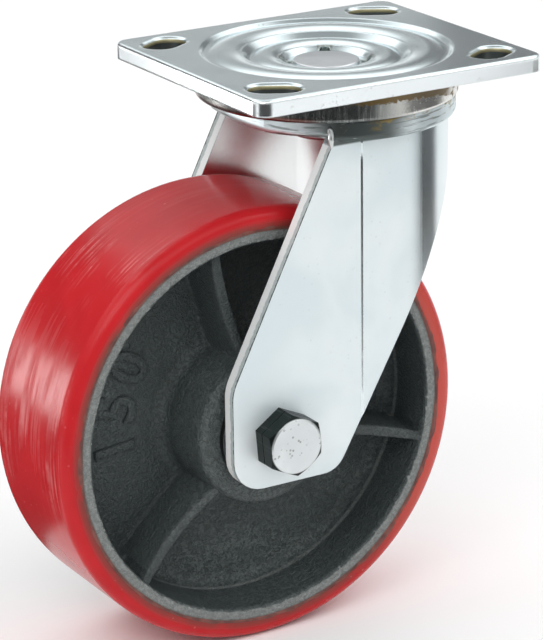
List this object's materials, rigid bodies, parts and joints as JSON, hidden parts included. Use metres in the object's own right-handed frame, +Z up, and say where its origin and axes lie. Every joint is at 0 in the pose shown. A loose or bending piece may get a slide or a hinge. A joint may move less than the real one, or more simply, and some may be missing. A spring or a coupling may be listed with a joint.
{
  "type": "swivel castor wheel",
  "caption": "Swivel castor with a slotted top plate, a ball-race head, a drawn steel fork and a ribbed iron wheel with a red bonded tread.",
  "frame": {"origin": "centre of the top plate's upper face, on the kingpin axis", "axes": "+Z up along the kingpin axis; the axle lies along Y, and the wheel trails towards -X"},
  "size_m": [0.1722, 0.1027, 0.1961],
  "materials": {
    "zinc_plate": "bright zinc plating on pressed steel",
    "zinc_ring": "zinc plating with grease stains",
    "zinc_pin": "satin zinc plating on a riveted head",
    "zinc_cup": "zinc plating",
    "bearing_steel": "polished hardened steel",
    "zinc_fork": "bright blue-white zinc plating",
    "zinc_bolt": "zinc plating on a forged head",
    "zinc_nut": "zinc plating",
    "zinc_washer": "zinc plating",
    "spring_steel": "plain spring steel",
    "thrust_steel": "dark oiled steel",
    "cage_steel": "pressed sheet steel",
    "black_iron": "black paint on sand-cast iron, with a bare machined rim face",
    "red_tread": "semi-gloss cast elastomer"
  },
  "bodies": {
    "plate": {"top_plate": "zinc_plate", "race_ring": "zinc_ring", "kingpin": "zinc_pin", "lower_cup": "zinc_cup"},
    "fork": {"fork": "zinc_fork", "axle_bolt": "zinc_bolt", "axle_nut": "zinc_nut", "flat_washer": "zinc_washer", "spring_washer": "spring_steel", "axle_sleeve": "bearing_steel", "near_thrust_washer": "thrust_steel", "far_thrust_washer": "thrust_steel"},
    "wheel": {"wheel_core": "black_iron", "tread": "red_tread"},
    "upper_ball_set": {"upper_balls": "bearing_steel"},
    "lower_ball_set": {"lower_balls": "bearing_steel"},
    "roller_set": {"roller_cage": "cage_steel", "rollers": "bearing_steel"}
  },
  "joints": [
    {"name": "swivel", "type": "hinge", "parent": "plate", "child": "fork", "pos_m": [0, 0, 0], "axis": [0, 0, 1], "continuous": true},
    {"name": "wheel_spin", "type": "hinge", "parent": "fork", "child": "wheel", "pos_m": [-0.0407, 0, -0.1199], "axis": [0, 1, 0], "continuous": true},
    {"name": "upper_ball_orbit", "type": "hinge", "parent": "plate", "child": "upper_ball_set", "pos_m": [0, 0, 0], "axis": [0, 0, 1], "continuous": true},
    {"name": "lower_ball_orbit", "type": "hinge", "parent": "plate", "child": "lower_ball_set", "pos_m": [0, 0, 0], "axis": [0, 0, 1], "continuous": true},
    {"name": "roller_orbit", "type": "hinge", "parent": "fork", "child": "roller_set", "pos_m": [-0.0407, 0, -0.1199], "axis": [0, 1, 0], "continuous": true}
  ],
  "couplings": [
    {"joint": "upper_ball_orbit", "follows": "swivel", "ratio": 0.5},
    {"joint": "lower_ball_orbit", "follows": "swivel", "ratio": 0.5},
    {"joint": "roller_orbit", "follows": "wheel_spin", "ratio": 0.6099}
  ]
}
